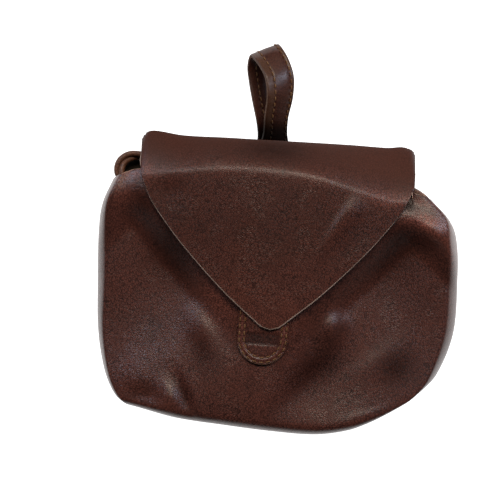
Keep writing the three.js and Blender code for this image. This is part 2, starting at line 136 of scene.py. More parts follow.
# Painted shade in the pouch's hollows and painted highlights on its lit folds and edges, with a change of
# tone for the height
POUCH_PAINTED_LIGHT = table(
    FOLD_COLUMNS,
    (-59, -6, -62, 24, 6, 15, -0.58),
    (-77, 21, -65, 12, 3.5, 3.5, -0.3),
    (-90, 20, 80, 12, 6, 6, 0.3),
    (-35, -32, -52, 14, 4, 6, 0.9),
    (64, -9, 42, 22, 6, 16, -0.45),
    (62, 4, 40, 9, 6, 6, -0.3),
    (71, 2, 48, 7, 4, 4, -0.35),
    (80, 0, -10, 8, 5, 5, 0.5),
    (92, -7, -30, 13, 8, 8, 0.9),
    (84, 9, -18, 12, 5, 4, 1.5),
    (75, 17.5, -42, 5, 4, 4, -0.9),
    (86, 14.6, -22, 7, 0.9, 0.9, -0.55),
    (18, -75, 45, 22, 10, 10, -0.55),
    (31, -72, 45, 8, 6, 6, -0.2),
    (-4, -88, 10, 14, 9, 9, 0.14),
    (68, -74, 38, 12, 10, 10, -0.55),
    (-43, -63, -65, 13, 7, 7, -0.5),
    (-54, -87, -75, 10, 3, 3, -0.3),
    (-73, -85, -6, 12, 6, 6, -0.2),
    (84, -34, 60, 30, 16, 16, -0.16),
    (-66, -58, 20, 16, 14, 14, -0.12),
    (-83, 36.8, 15, 8, 2, 2.4, 0.9),
    (83, 20.6, -14, 6, 1.5, 2.4, 0.9),
    (82, 26.5, -57, 6, 2, 2, -0.6),
)
# Shine of the pouch's leather by its tone: reflections dimmed where shade is painted in the hollows
POUCH_SHADE_SHINE = table(
    "from_tone shine",
    (-9, 0.1),
    (0.4, 0.14),
    (0.5, 0.18),
    (0.6, 0.21),
    (0.7, 0.24),
    (0.8, 0.27),
    (0.9, 0.3),
)
# Rounding of the bottom rim and of the back, and the levels up to which the bottom is rounded
BOTTOM_RIM_POWER = 4
BACK_ROUNDING = 4
BACK_FLATNESS = 1.03
BOTTOM_ROUND_LEVEL = 0.22
FRONT_BOTTOM_LEVEL = 0.08
# Fall of the front from its crown to its sides, and the share of it that is left at the mouth
CROWN_FALL = 0.0003
CROWN_FALL_LEFT_AT_MOUTH = 0.5
# Lift of the back towards the mouth, the mouth's gathers, and the level where its back edge stands out
BACK_LIFT = {"height": 9.5, "from_y": -28, "to_y": 30}
MOUTH_GATHERS = {"count": 5, "depth": 1.2, "from_level": 0.82}
BACK_BEYOND_FROM_LEVEL = 0.78
# Search for a place on the front panel: height of all its levels, first level tried and steps taken
SEARCH = {"levels_height": 132, "first_level": 0.5, "steps": 40}
# Mesh of the pouch: share of the width with a rim's finer columns, counts, and bevel of the cut edge
POUCH_RIM_SHARE = 0.045
POUCH_RIM_COLUMNS = 14
POUCH_COLUMNS = 130
POUCH_ROWS = 110
POUCH_BEVEL = (0.3, 0.5)

# Flap: placed by the middle of its top line and turned a little clockwise
FLAP_MIDDLE = (1.2, 55.8)
FLAP_TURN = math.radians(-3)
FLAP_HALF_WIDTH = 79.4
FLAP_BACK_HALF_WIDTH = 71
FLAP_ROOT_DROP = 50
FLAP_BACK_RADIUS = 11
FLAP_ROLL_SHARPNESS = 1.8
FLAP_CREST = {"z": 48.4, "fall": 0.0007, "bow": 0.0002, "bow_at": 55}
# Flap roll by place across: distance from the top line to the crest, flare and height of the top line
FLAP_ROLL = table(
    "across depth flare line_z",
    (-79.4, 24, -3.4, 31),
    (-77, 24, 0.6, 32),
    (-72, 23.5, 2.3, 32),
    (-55, 21, 0.4, 33),
    (-30, 18, 0.2, 35.5),
    (-5, 18.2, 0, 35.5),
    (20, 20.5, 0, 33.5),
    (42, 26, 0, 30),
    (63, 31.5, -0.3, 27),
    (71, 32, 0.6, 26),
    (77, 31, -0.9, 26),
    (79.4, 30, -4.5, 25),
)
# Flap front edge by distance from its middle line: drop below the top line
FLAP_EDGE = table(
    "aside drop",
    (0, 107.9),
    (5, 106.5),
    (10, 102.6),
    (28, 87.2),
    (50, 64.8),
    (64, 48),
    (72.5, 35.5),
    (77.5, 23),
    (79.4, 13.5),
)
# Soft ridges and hollows of the flap in the flap's own directions, with the same columns
FLAP_FOLDS = table(
    FOLD_COLUMNS,
    (39, -40, 60, 20, 2.6, 7, 1.5),
    (-62, -30, 80, 14, 9, 9, -0.7),
    (42, -68, 45, 16, 5, 5, 0.3),
)
FLAP_FOLDS_FADE = 12
# Painted shade and painted highlights on the flap, in the part's frame
FLAP_PAINTED_LIGHT = table(
    FOLD_COLUMNS,
    (-2, 51, -3, 18, 7, 7, -0.36),
    (0, 46, -3, 45, 9, 9, -0.1),
    (64, 22, -8, 14, 4, 5, 0.65),
    (55, 41, -4, 26, 10, 10, 0.12),
    (35, 9, 57, 14, 2.5, 4, 0.28),
    (-58, 18, -60, 18, 11, 11, -0.14),
    (-20, 4, 0, 20, 16, 16, -0.07),
    (-74, 40, -80, 6, 3, 3, 0.5),
)
FLAP_COLUMNS = 110
FLAP_ROWS = 150
FLAP_BEVEL = (1.1, 1.3)
# Tone of the flap's upper part, darkened as painted shade, and of its tip, and where each is reached
FLAP_UPPER_SHADE = {"upper": 0.77, "tip": 1.0, "upper_y": 5, "tip_y": -45}
# Painted highlight along the flap's crest: how much lighter it is, and how far that reaches above and
# below the crest
CREST_HIGHLIGHT = {"tone": 0.24, "above": 4, "below": 4}
# Finish of the flap's leather by distance past its crest: duller above it, and worn smooth
FLAP_FINISH = table(
    "from_past shine worn",
    (-200, 0.13, 0.7),
    (-14, 0.15, 0.6),
    (-11, 0.17, 0.45),
    (-8, 0.19, 0.3),
    (-5, 0.21, 0.15),
    (-2, 0.22, 0),
)
FLAP_WORN_COLOR = (0.054, 0.0185, 0.0114)
# Rounding of the ridge along the crest: how far it reaches, and how often the points are evened out
CREST_ROUND = {"reach": 9, "passes": 10}

# Wrist loop: outer face of the band along its middle, from the front root over the bend to the back root
LOOP_WIDTH = 18
LOOP_STATIONS = table(
    "x y z roll skew",
    (-2.2, 22, 6, 0, 0),
    (-2.1, 40, 6.1, 0, 0),
    (-1.9, 46, 6.3, 1, 0),
    (-1.2, 52, 7.5, 9, 0),
    (-0.1, 61, 12.6, 41, 0),
    (0.4, 70, 18.6, 42, 0),
    (2.4, 82, 25, 35, 1),
    (1.9, 93, 25.4, 24, 5),
    (-1.3, 101.6, 23.2, 15, 13),
    (-5.2, 108, 19.4, 9, 20),
    (-7.7, 110.6, 13.8, 7, 22),
    (-8.9, 103, 7.2, 13, 13),
    (-8.2, 92, 5.4, 22, 3),
    (-6.8, 80, 5.6, 30, 0),
    (-5, 68, 5.9, 36, 0),
    (-4.2, 61, 5.3, 35, 0),
    (-3.1, 52, 1.8, 9, 0),
    (-2.4, 46, 0.5, 1, 0),
    (-2.1, 40, 0.3, 0, 0),
    (-2.2, 22, 0.3, 0, 0),
)
LOOP_STEPS = 260
# Band section over the outer face from its left to its right edge: share of the half width,
# and depth below the face
LOOP_SECTION = table(
    "share depth",
    (-1, 0.62),
    (-0.96, 0.2),
    (-0.88, 0.06),
    (-0.55, 0.05),
    (-0.5, 0.12),
    (-0.45, 0.36),
    (-0.4, 0.12),
    (-0.3, 0),
    (0, -0.12),
    (0.4, 0),
    (0.7, 0.1),
    (0.75, 0.36),
    (0.8, 0.12),
    (0.88, 0.06),
    (0.96, 0.2),
    (1, 0.62),
)
# Stitch rows of the band: shares of the half width, and how far they are sunk below its faces
LOOP_STITCH_SHARES = (-0.45, 0.75)
LOOP_STITCH_SINK = 0.3
# Cut edge of the band: share of the half width at its middle, and where it starts
LOOP_CUT = {"middle": 0.985, "from": 0.97}
# Margins outside the stitch rows, and painted shade on the loop's root, black where it comes out from
# behind the flap
LOOP_MARGIN_SHARES = (-0.48, 0.78)
LOOP_ROOT_SHADE = {"from_y": 62, "to_y": 74, "tone": 0.1}
# Shade of the back strand, which lies low under the front one
LOOP_BACK = {"from_z": 8, "to_z": 15, "tone": 0.75}
# Finish of the loop by height on the bag, duller towards its root, with reflections dimmed there under the
# painted shade
LOOP_SHADED_FINISH = table(
    "from_y roughness shine",
    (0, 0.7, 0.02),
    (68, 0.64, 0.04),
    (73, 0.58, 0.07),
    (78, 0.51, 0.11),
    (83, 0.44, 0.15),
    (88, 0.38, 0.19),
    (92, 0.34, 0.22),
)

# Patch: a tongue with a round lower end, sewn on the front panel
PATCH_MIDDLE = (-8.6, -57)
PATCH_TURN = math.radians(-4)
PATCH_RADIUS = 14.6
PATCH_STRAIGHT = 18
PATCH_COLUMNS = 64
PATCH_ROWS = 60
PATCH_BEVEL = (0.4, 0.6)
# Stitch rows of the patch: insets from its edge, grooves under them, and the points of their paths
PATCH_STITCH_INSETS = (1.3, 4.1)
PATCH_GROOVE = {"depth": 0.3, "width": 0.5}
PATCH_STITCH_PATH = {"short_of_top": 2, "side_points": 20, "round_points": 60}
# Bare bar pressed into the patch, with a pale line under it as a painted highlight, and the ridge between
# the stitch rows
PATCH_BAR = {"half_width": 9.7, "half_height": 3.4, "depth": 0.3, "soft": 0.9, "tone": 0.5}
PATCH_LINE_HIGHLIGHT = {"below": 1, "width": 0.6, "tone": 0.15}
PATCH_RIDGE = {"inset": 2.7, "width": 1.1, "height": 0.25, "tone": 0.35}

# Drawcord: two strands twisted together along the back edge of the mouth, side by side at one place on it
CORD_RADIUS = 3.3
CORD_STRAND_RADIUS = 1.75
CORD_PITCH = 60
CORD_SIDE_BY_SIDE = 18
CORD_SIDES = 12
CORD_STEPS = 260
CORD_MEASURE_STEPS = 600
CORD_PATH = table(
    "x y z",
    (-84.5, 27, 20),
    (-88.6, 33, 19.6),
    (-91.4, 38.8, 19.8),
    (-90.2, 44.2, 19.2),
    (-86, 47.6, 17.6),
    (-79, 48.4, 16.4),
    (-62, 46.8, 15.6),
    (-30, 44.6, 15.2),
    (2, 42.4, 15.2),
    (36, 39, 15.2),
    (62, 33.6, 15.4),
    (76, 28.6, 16.2),
    (82.6, 23.6, 17.6),
    (85.4, 18.2, 19),
    (84.6, 11.5, 19.6),
)

# Thread: stitches that arch out of the leather, with thin ends that dive into it
STITCH_PITCH = 3.7
STITCH_LENGTH = 3.0
STITCH_RADIUS = 0.42
STITCH_SIDES = 6
STITCH_RINGS = 7
STITCH_DIVE = {"depth": 1.9, "power": 4}
STITCH_TAPER = {"least": 0.05, "power": 6}

# Meshes: share of the next face that a bevel may take, decimals in which welded points agree, and the
# shortest length of a direction
BEVEL_ROOM_SHARE = 0.6
WELD_DECIMALS = 3
TINY = 1e-12

# Leather grain: length of pebbles for their width, reach of their round sides, depth of the creases,
# distance between places where they lie the other way, and range of noise where they turn
PEBBLE_LENGTH = 1.8
PEBBLE_ROUNDING = 0.19
RELIEF_DEPTH = 0.045
GRAIN_DRIFT = 24
GRAIN_TURN = (0.45, 0.55)
# Bends in the lines of pebbles, and the fine grain on top of them, both for a grain of 1
GRAIN_WARP = {"fineness": 0.35, "shift": 2.4}
FINE_GRAIN = {"fineness": 2.6, "detail": 3, "height": 0.4}
# Cloudy patches in the colour and the gloss, range of noise, and how much pebbles and patches count
MOTTLE = {"scale": 34, "detail": 5, "roughness": 0.6}
NOISE_RANGE = (0.3, 0.7)
MOTTLE_GLOSS = 0.03
PEBBLE_TONE = 0.76
MOTTLE_TONE = 0.24
# Streaks and nap of cut edges, suede and thread
FIBRE_DETAIL = 4
FIBRE_SHINE = 0.1
NAP = {"strength": 0.5, "depth": 0.15}

# Dark and light colours of the leathers
BODY_COLORS = ((0.005, 0.001, 0.0006), (0.0835, 0.0254, 0.0169))
FLAP_COLORS = ((0.005, 0.001, 0.0006), (0.088, 0.0263, 0.0167))
LOOP_COLORS = ((0.018, 0.0054, 0.0032), (0.054, 0.0172, 0.0102))
MARGIN_COLORS = ((0.03, 0.0115, 0.006), (0.062, 0.026, 0.0135))
CORD_COLORS = ((0.026, 0.0095, 0.0055), (0.118, 0.048, 0.027))
# Grain of the leathers in millimetres, and their finish
BODY_GRAIN = {"grain": 1.08, "roughness": 0.35, "bump": 1.0}
LOOP_GRAIN = {"grain": 1.1, "bump": 0.3}
CORD_GRAIN = {"grain": 1.2, "roughness": 0.5, "bump": 0.6, "shine": 0.25}
# Suede, cut edges and thread: dark and light colour, fibres to a metre, and roughness
FIBROUS = {
    "inside_leather": (((0.012, 0.008, 0.006), (0.022, 0.017, 0.013)), 900, 0.85),
    "cut_edge": (((0.12, 0.062, 0.038), (0.27, 0.16, 0.105)), 700, 0.7),
    "flap_cut_edge": (((0.3, 0.19, 0.14), (0.56, 0.41, 0.33)), 700, 0.7),
    "loop_edge": (((0.05, 0.024, 0.014), (0.12, 0.066, 0.042)), 700, 0.7),
    "thread": (((0.085, 0.039, 0.016), (0.15, 0.075, 0.034)), 2200, 0.65),
}

# Surrounding light by height over the horizon
SKY = table(
    "height brightness",
    (0, 0.14),
    (0.2, 0.12),
    (0.4, 0.09),
    (0.7, 0.06),
    (1, 0.05),
)
SKY_TINT = (1.0, 0.99, 0.98)
# White floor, a little below the bag
FLOOR = {"reach": 2500, "drop": 0.2, "grey": 0.4, "roughness": 0.9, "glow": 1.25}
# Softboxes, all aimed at the bag: place, width and height, power in watts, and colour
LIGHT_TARGET = (0, 0, 30)
WARM_LIGHT = (1.0, 0.87, 0.72)
COOL_LIGHT = (0.7, 0.81, 1.0)
SOFTBOXES = {
    "top_softbox": ((160, 1290, 1850), (1200, 440), 40, WARM_LIGHT),
    "left_softbox": ((-590, 600, 650), (200, 300), 4.6, COOL_LIGHT),
    "right_softbox": ((700, 440, 650), (200, 300), 5.2, COOL_LIGHT),
}

# Camera straight above the bag, at the photo's scale
CAMERA_PLACE = (-15.66, -6.67, 1000)
CAMERA_LENS = 121.66
CAMERA_SENSOR = 36
CAMERA_CLIP = 50


def smooth_step(value, low, high):
    t = np.clip((value - low) / (high - low), 0, 1)
    return t * t * (3 - 2 * t)


def lerp(low, high, share):
    return low + (high - low) * share


def soft_peak(value, middle, width):
    """1 at a middle value, falling to 0 on both sides of it."""
    return np.exp(-(((value - middle) / width) ** 2))


def turned(middle, turn, right, up):
    """The place that lies right and up from a middle by two lengths, in turned directions."""
    x = middle[0] + right * math.cos(turn) - up * math.sin(turn)
    y = middle[1] + right * math.sin(turn) + up * math.cos(turn)
    return x, y


def unit(vectors):
    return vectors / np.maximum(np.linalg.norm(vectors, axis=-1, keepdims=True), TINY)


def read_table(rows, place, column):
    """One column of a table at a place in its first column, as a smooth curve through its rows."""
    keys = next(iter(rows.values()))
    values = rows[column]
    before = np.maximum(np.arange(len(keys)) - 1, 0)
    after = np.minimum(np.arange(len(keys)) + 1, len(keys) - 1)
    slopes = (values[after] - values[before]) / (keys[after] - keys[before])
    place = np.clip(place, keys[0], keys[-1])
    low = np.clip(np.searchsorted(keys, place) - 1, 0, len(keys) - 2)
    span = keys[low + 1] - keys[low]
    t = (place - keys[low]) / span
    from_low = (2 * t**3 - 3 * t**2 + 1) * values[low] + (t**3 - 2 * t**2 + t) * span * slopes[low]
    from_high = (3 * t**2 - 2 * t**3) * values[low + 1] + (t**3 - t**2) * span * slopes[low + 1]
    return from_low + from_high


def read_columns(rows, place, columns):
    return [read_table(rows, place, column) for column in columns.split()]


def fold_height(folds, x, y):
    """Height that a table of soft folds adds at a place."""
    total = np.zeros(np.broadcast(x, y).shape)
    for fold in zip(*folds.values()):
        middle_x, middle_y, turn, length, left, right, height = fold
        along, aside = turned((0, 0), -math.radians(turn), x - middle_x, y - middle_y)
        width = np.where(aside > 0, left, right)
        total = total + height * np.exp(-((along / length) ** 2) - (aside / width) ** 2)
    return total


def step_drop(x, y):
    """How far the front panel steps down beside the flap at a place."""
    total = np.zeros(np.broadcast(x, y).shape)
    for from_x, from_y, to_x, to_y, side, start, full, wane, end in zip(*FRONT_STEPS.values()):
        length = math.hypot(to_x - from_x, to_y - from_y)
        ahead_x = (to_x - from_x) / length
        ahead_y = (to_y - from_y) / length
        along = ((x - from_x) * ahead_x + (y - from_y) * ahead_y) / length
        beside = side * ((y - from_y) * ahead_x - (x - from_x) * ahead_y)
        fade = smooth_step(along, start, full) * (1 - smooth_step(along, wane, end))
        fall = smooth_step(beside, STEP_FALL["inner"], STEP_FALL["outer"])
        total = total + STEP_FALL["drop"] * fade * fall
    return total


def back_height(y):
    return BACK_LIFT["height"] * smooth_step(y, BACK_LIFT["from_y"], BACK_LIFT["to_y"])


def pouch_plan(share, level):
    left_x, right_x = read_columns(POUCH_LEVELS, level, "left_x right_x")
    left_y, right_y = read_columns(POUCH_LEVELS, level, "left_y right_y")
    rise = read_table(MOUTH_EDGE, share, "rise")
    drop = read_table(BOTTOM_EDGE, share, "drop")
    x = lerp(left_x, right_x, share)
    y = lerp(left_y, right_y, share) + level * rise - (1 - level) * drop
    return x, y


def back_rounding(share, level):
    """How far a place on the back stands in from its sides and bottom, 0 on the outline and 1 inside."""
    aside = np.abs(2 * share - 1)
    low = np.maximum(0, 1 - level / BOTTOM_ROUND_LEVEL)
    inside = (1 - aside**BACK_ROUNDING) * (1 - low**BACK_ROUNDING)
    return np.maximum(0, inside) ** (1 / BACK_ROUNDING)


def front_rounding(share, level):
    """How far a place on the front stands in from the rim, 0 on the outline and 1 on the panel."""
    left_x, right_x = read_columns(POUCH_LEVELS, level, "left_x right_x")
    left_rim, right_rim = read_columns(POUCH_RIMS, level, "left right")
    from_side = np.minimum(share, 1 - share) * (right_x - left_x)
    side = np.clip(1 - from_side / np.where(share < 0.5, left_rim, right_rim), 0, 1)
    low = np.clip(1 - level / FRONT_BOTTOM_LEVEL, 0, 1)
    side_rounding = (1 - side**SIDE_RIM_POWER) ** (1 / SIDE_RIM_POWER)
    return side_rounding * (1 - low**BOTTOM_RIM_POWER) ** (1 / BOTTOM_RIM_POWER)


def pouch_front(share, level):
    x, y = pouch_plan(share, level)
    side_z, crown_z = read_columns(POUCH_LEVELS, level, "side_z crown_z")
    turn = np.arccos(np.clip(1 - 2 * share, -1, 1))
    gather = MOUTH_GATHERS["depth"] * np.sin(2 * MOUTH_GATHERS["count"] * turn)
    gather = gather * smooth_step(level, MOUTH_GATHERS["from_level"], 1)
    fall = CROWN_FALL * x**2 * lerp(1, CROWN_FALL_LEFT_AT_MOUTH, level)
    crown = crown_z - fall + fold_height(FRONT_FOLDS, x, y) - step_drop(x, y)
    z = lerp(side_z, crown + gather, front_rounding(share, level))
    return np.stack([x, y, z], -1)


def pouch_back(share, level):
    x, y = pouch_plan(share, level)
    side_z = read_table(POUCH_LEVELS, level, "side_z")
    beyond = read_table(MOUTH_EDGE, share, "back_beyond")
    y = y + beyond * smooth_step(level, BACK_BEYOND_FROM_LEVEL, 1)
    rounding = np.minimum(1, BACK_FLATNESS * back_rounding(share, level))
    return np.stack([x, y, lerp(side_z, back_height(y), rounding)], -1)


def pouch_front_height(x, y):
    """Front panel height at a place in plan, found by closing in on its share and level."""
    level = np.full(np.broadcast(x, y).shape, SEARCH["first_level"])
    for _ in range(SEARCH["steps"]):
        left_x, right_x = read_columns(POUCH_LEVELS, level, "left_x right_x")
        share = (x - left_x) / (right_x - left_x)
        short = y - pouch_plan(share, level)[1]
        level = np.clip(level + short / SEARCH["levels_height"], 0, 1)
    return pouch_front(share, level)[..., 2]


def grid_quads(columns, rows):
    """Corners of the faces between grid points that are stored row by row."""
    corner = (np.arange(rows)[:, None] * (columns + 1) + np.arange(columns)[None, :]).ravel()
    above = corner + columns + 1
    return np.stack([corner, corner + 1, above + 1, above], -1)


def weld(points, faces):
    """The same surface with points that coincide made one."""
    rounded = np.round(points, WELD_DECIMALS)
    _, first, new = np.unique(rounded, axis=0, return_index=True, return_inverse=True)
    return points[first], new.ravel()[faces]


def face_normals(points, faces):
    return np.cross(points[faces[:, 2]] - points[faces[:, 0]], points[faces[:, 3]] - points[faces[:, 1]])


def point_normals(points, faces):
    normals = np.zeros_like(points)
    for corner in range(4):
        np.add.at(normals, faces[:, corner], face_normals(points, faces))
    return unit(normals)


def open_edges(faces):
    """Edges of a surface that only one face has, in that face's direction."""
    edges = np.concatenate([faces[:, [corner, (corner + 1) % 4]] for corner in range(4)])
    size = faces.max() + 1
    codes = edges[:, 0] * size + edges[:, 1]
    reverse = edges[:, 1] * size + edges[:, 0]
    return edges[~np.isin(codes, reverse)]


def thicken(points, faces, thickness, bevel):
    """Closed solid from an open surface: points, faces and a part number for each face.

    Parts are 0 for the outer face, 1 for the inner face and 2 for the cut edge. bevel is how far the outer
    face stops short of the edge, and how far down the edge the slope goes.
    """
    count = len(points)
    normals = point_normals(points, faces)
    inner = points - thickness * normals
    edges = open_edges(faces)
    direction = points[edges[:, 1]] - points[edges[:, 0]]
    inward = np.zeros_like(points)
    for end in range(2):
        np.add.at(inward, edges[:, end], np.cross(normals[edges[:, end]], direction))
    rim = np.unique(edges)
    inward = unit(inward[rim])
    is_rim = np.zeros(count, bool)
    is_rim[rim] = True
    room = np.full(count, np.inf)
    for corner in range(4):
        one = faces[:, corner]
        two = faces[:, (corner + 1) % 4]
        length = np.linalg.norm(points[one] - points[two], axis=1)
        np.minimum.at(room, one[~is_rim[two]], length[~is_rim[two]])
        np.minimum.at(room, two[~is_rim[one]], length[~is_rim[one]])
    short = np.minimum(bevel[0], BEVEL_ROOM_SHARE * room[rim])
    side = points[rim] - bevel[1] * normals[rim]
    outer = points.copy()
    outer[rim] += inward * short[:, None]
    side_of = np.zeros(count, int)
    side_of[rim] = 2 * count + np.arange(len(rim))
    start, end = edges[:, 0], edges[:, 1]
    slope_faces = np.stack([end, start, side_of[start], side_of[end]], -1)
    rim_faces = np.stack([side_of[end], side_of[start], start + count, end + count], -1)
    all_faces = np.concatenate([faces, faces[:, ::-1] + count, slope_faces, rim_faces])
    parts = np.repeat([0, 1, 2, 2], [len(faces), len(faces), len(edges), len(edges)])
    return np.concatenate([outer, inner, side]), all_faces, parts


def finish_rows(bounds, values, faces):
    """Row of a finish table for each face, by its bounds and by a value at each point."""
    return np.searchsorted(bounds, values[faces].mean(1), side="right") - 1


def finish_outer(parts, bounds, values, faces):
    """Part numbers with the outer face shared out among the rows of a finish table."""
    return np.where(parts == 0, finish_rows(bounds, values, faces), len(bounds) + parts - 1)


def add_object(name, data):
    """A new object in the scene that shows the given data."""
    thing = bpy.data.objects.new(name, data)
    bpy.context.scene.collection.objects.link(thing)
    return thing


def add_piece(name, points, faces, parts, materials, tone=1):
    """Mesh object from points in millimetres.

    parts picks a material for each face and tone is for each point; one number does for all.
    """
    mesh = bpy.data.meshes.new(name)
    mesh.from_pydata((points * MM).tolist(), [], faces.tolist())
    mesh.polygons.foreach_set("material_index", np.full(len(faces), parts, np.int32))
    mesh.polygons.foreach_set("use_smooth", np.ones(len(faces), bool))
    for material in materials:
        mesh.materials.append(material)
    tones = np.full(len(points), tone, np.float32)
    mesh.attributes.new("tone", "FLOAT", "POINT").data.foreach_set("value", tones)
    mesh.validate()
    mesh.update()
    piece = add_object(name, mesh)
    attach(piece, "root")
    return piece


def path_points(rows):
    """The points of a table with columns x, y and z."""
    return np.stack([rows["x"], rows["y"], rows["z"]], -1)


def curve_points(path, places):
    """Points on a smooth curve through a path's points, at places from 0 to 1 with equal spans."""
    last = len(path) - 1
    padded = np.concatenate([[2 * path[0] - path[1]], path, [2 * path[-1] - path[-2]]])
    where = np.clip(places, 0, 1) * last
    span = np.minimum(where.astype(int), last - 1)
    t = (where - span)[:, None]
    p0, p1, p2, p3 = (padded[span + index] for index in range(4))
    spans = ((p0, p1), (p1, p2), (p2, p3))
    d0, d1, d2 = (np.sqrt(np.linalg.norm(b - a, axis=1))[:, None] for a, b in spans)
    start = ((p1 - p0) / d0 - (p2 - p0) / (d0 + d1) + (p2 - p1) / d1) * d1
    end = ((p2 - p1) / d1 - (p3 - p1) / (d1 + d2) + (p3 - p2) / d2) * d1
    square = -3 * p1 + 3 * p2 - 2 * start - end
    cube = 2 * p1 - 2 * p2 + start + end
    return p1 + start * t + square * t**2 + cube * t**3


def path_lengths(points):
    steps = np.linalg.norm(np.diff(points, axis=0), axis=1)
    return np.concatenate([[0], np.cumsum(steps)])


def along_path(points, lengths, places):
    """Values of each column of points at places along the path's length."""
    return np.stack([np.interp(places, lengths, column) for column in points.T], -1)


def tube_rings(line, one, two, radius, sides):
    """Rings of points round a line, in two directions across it, with a radius for each."""
    angles = 2 * math.pi * np.arange(sides) / sides
    along_one = (radius[:, None] * np.cos(angles))[:, :, None] * one[:, None]
    along_two = (radius[:, None] * np.sin(angles))[:, :, None] * two[:, None]
    return (line[:, None] + along_one + along_two).reshape(-1, 3)


def tube_faces(rings, sides):
    """Faces of a tube whose points are stored ring by ring, with fans that close its ends."""
    ring = np.arange(rings - 1)[:, None] * sides
    next_ring = ring + sides
    side = np.arange(sides)[None, :]
    beside = (side + 1) % sides
    walls = np.stack([ring + side, next_ring + side, next_ring + beside, ring + beside], -1)
    top = (rings - 1) * sides
    caps = []
    for corner in range(1, sides - 2, 2):
        caps.append((0, corner, corner + 1, corner + 2))
        caps.append((top, top + corner + 2, top + corner + 1, top + corner))
    return np.concatenate([walls.reshape(-1, 4), np.array(caps)])


def stitch_row(points, normals):
    """Points and faces of a row of arched stitches along a path with the face's normals."""
    lengths = path_lengths(points)
    count = int(lengths[-1] / STITCH_PITCH)
    middles = (np.arange(count) + 0.5) * lengths[-1] / count
    ring_share = np.linspace(-1, 1, STITCH_RINGS)
    lift = STITCH_RADIUS * (1 - STITCH_DIVE["depth"] * ring_share ** STITCH_DIVE["power"])
    taper = 1 - ring_share ** STITCH_TAPER["power"]
    radius = STITCH_RADIUS * np.sqrt(np.maximum(STITCH_TAPER["least"], taper))
    stitches = []
    for middle in middles:
        places = middle + ring_share * STITCH_LENGTH / 2
        line = along_path(points, lengths, places)
        up = unit(along_path(normals, lengths, places))
        ahead = unit(np.gradient(line, axis=0))
        side = unit(np.cross(up, ahead))
        rings = tube_rings(line + up * lift[:, None], side, up, radius, STITCH_SIDES)
        stitches.append((rings, tube_faces(STITCH_RINGS, STITCH_SIDES)))
    return join_parts(stitches)


def join_parts(parts):
    """Several lots of points and faces as one."""
    points = []
    faces = []
    count = 0
    for part_points, part_faces in parts:
        points.append(part_points)
        faces.append(part_faces + count)
        count += len(part_points)
    return np.concatenate(points), np.concatenate(faces)


# Materials


def fill_inputs(tree, node, inputs):
    """Sets a node's inputs: an output of another node is linked, and anything else is a fixed value."""
    for name, value in inputs.items():
        if isinstance(value, bpy.types.NodeSocket):
            tree.links.new(value, node.inputs[name])
        else:
            node.inputs[name].default_value = value


def add_node(tree, kind, inputs, **settings):
    """Outputs of a new node with the given inputs and settings."""
    node = tree.nodes.new(kind)
    for name, value in settings.items():
        setattr(node, name, value)
    fill_inputs(tree, node, inputs)
    return node.outputs


def new_material(name):
    material = bpy.data.materials.new(name)
    material.use_nodes = True
    return material, material.node_tree


def noise(tree, place, scale, detail=2, roughness=0.5):
    """Cloudy noise, finer with a larger scale."""
    inputs = {"Vector": place, "Scale": scale, "Detail": detail, "Roughness": roughness}
    return add_node(tree, "ShaderNodeTexNoise", inputs)


def scaled(tree, value, before, after):
    """A value brought from one range to another and kept inside it."""
    bounds = {"From Min": before[0], "From Max": before[1], "To Min": after[0], "To Max": after[1]}
    return add_node(tree, "ShaderNodeMapRange", {"Value": value, **bounds})["Result"]


def multiply_add(tree, value, factor, added):
    """A value times a fixed factor, with another value added."""
    inputs = {0: value, 1: factor, 2: added}
    return add_node(tree, "ShaderNodeMath", inputs, operation="MULTIPLY_ADD")["Value"]


def pebbles(tree, place, sizes):
    """Light pebbles between dark creases, with a size along each axis."""
    scale = [1 / (size * MM) for size in sizes]
    mapped = add_node(tree, "ShaderNodeMapping", {"Vector": place, "Scale": scale})["Vector"]
    inputs = {"Vector": mapped, "Scale": 1}
    creases = add_node(tree, "ShaderNodeTexVoronoi", inputs, feature="DISTANCE_TO_EDGE")
    return scaled(tree, creases["Distance"], (0, PEBBLE_ROUNDING), (0, 1))


def mixed_pebbles(tree, place, grain):
    """Pebbles in wavy lines, upright in some places and level in others."""
    warp = noise(tree, place, GRAIN_WARP["fineness"] / (grain * MM))["Color"]
    shift = {0: warp, 1: (GRAIN_WARP["shift"] * grain * MM,) * 3, 2: place}
    shifted = add_node(tree, "ShaderNodeVectorMath", shift, operation="MULTIPLY_ADD")["Vector"]
    drift = noise(tree, place, 1 / (GRAIN_DRIFT * MM))["Fac"]
    length = PEBBLE_LENGTH * grain
    inputs = {
        "Factor": scaled(tree, drift, GRAIN_TURN, (0, 1)),
        "A": pebbles(tree, shifted, (grain, length, grain)),
        "B": pebbles(tree, shifted, (length, grain, grain)),
    }
    return add_node(tree, "ShaderNodeMix", inputs)["Result"]


def color_ramp(tree, value, places, colors):
    """A colour between fixed colours that have their places in a value's range."""
    ramp = tree.nodes.new("ShaderNodeValToRGB")
    stops = ramp.color_ramp.elements
    for index, (place, color) in enumerate(zip(places, colors)):
        stop = stops[index] if index < len(stops) else stops.new(place)
        stop.position = place
        stop.color = (*color, 1)
    fill_inputs(tree, ramp, {"Fac": value})
    return ramp.outputs["Color"]


def toned_color(tree, value, places, colors):
    """A colour from dark to light by a value, and by the piece's tone at each point."""
    tone = add_node(tree, "ShaderNodeAttribute", {}, attribute_name="tone")["Fac"]
    inputs = {0: color_ramp(tree, value, places, colors), "Scale": tone}
    return add_node(tree, "ShaderNodeVectorMath", inputs, operation="SCALE")["Vector"]


def relief(tree, height, strength, depth):
    """Normals of a relief by a height, with a depth in millimetres."""
    inputs = {"Height": height, "Strength": strength, "Distance": depth * MM}
    return add_node(tree, "ShaderNodeBump", inputs)["Normal"]


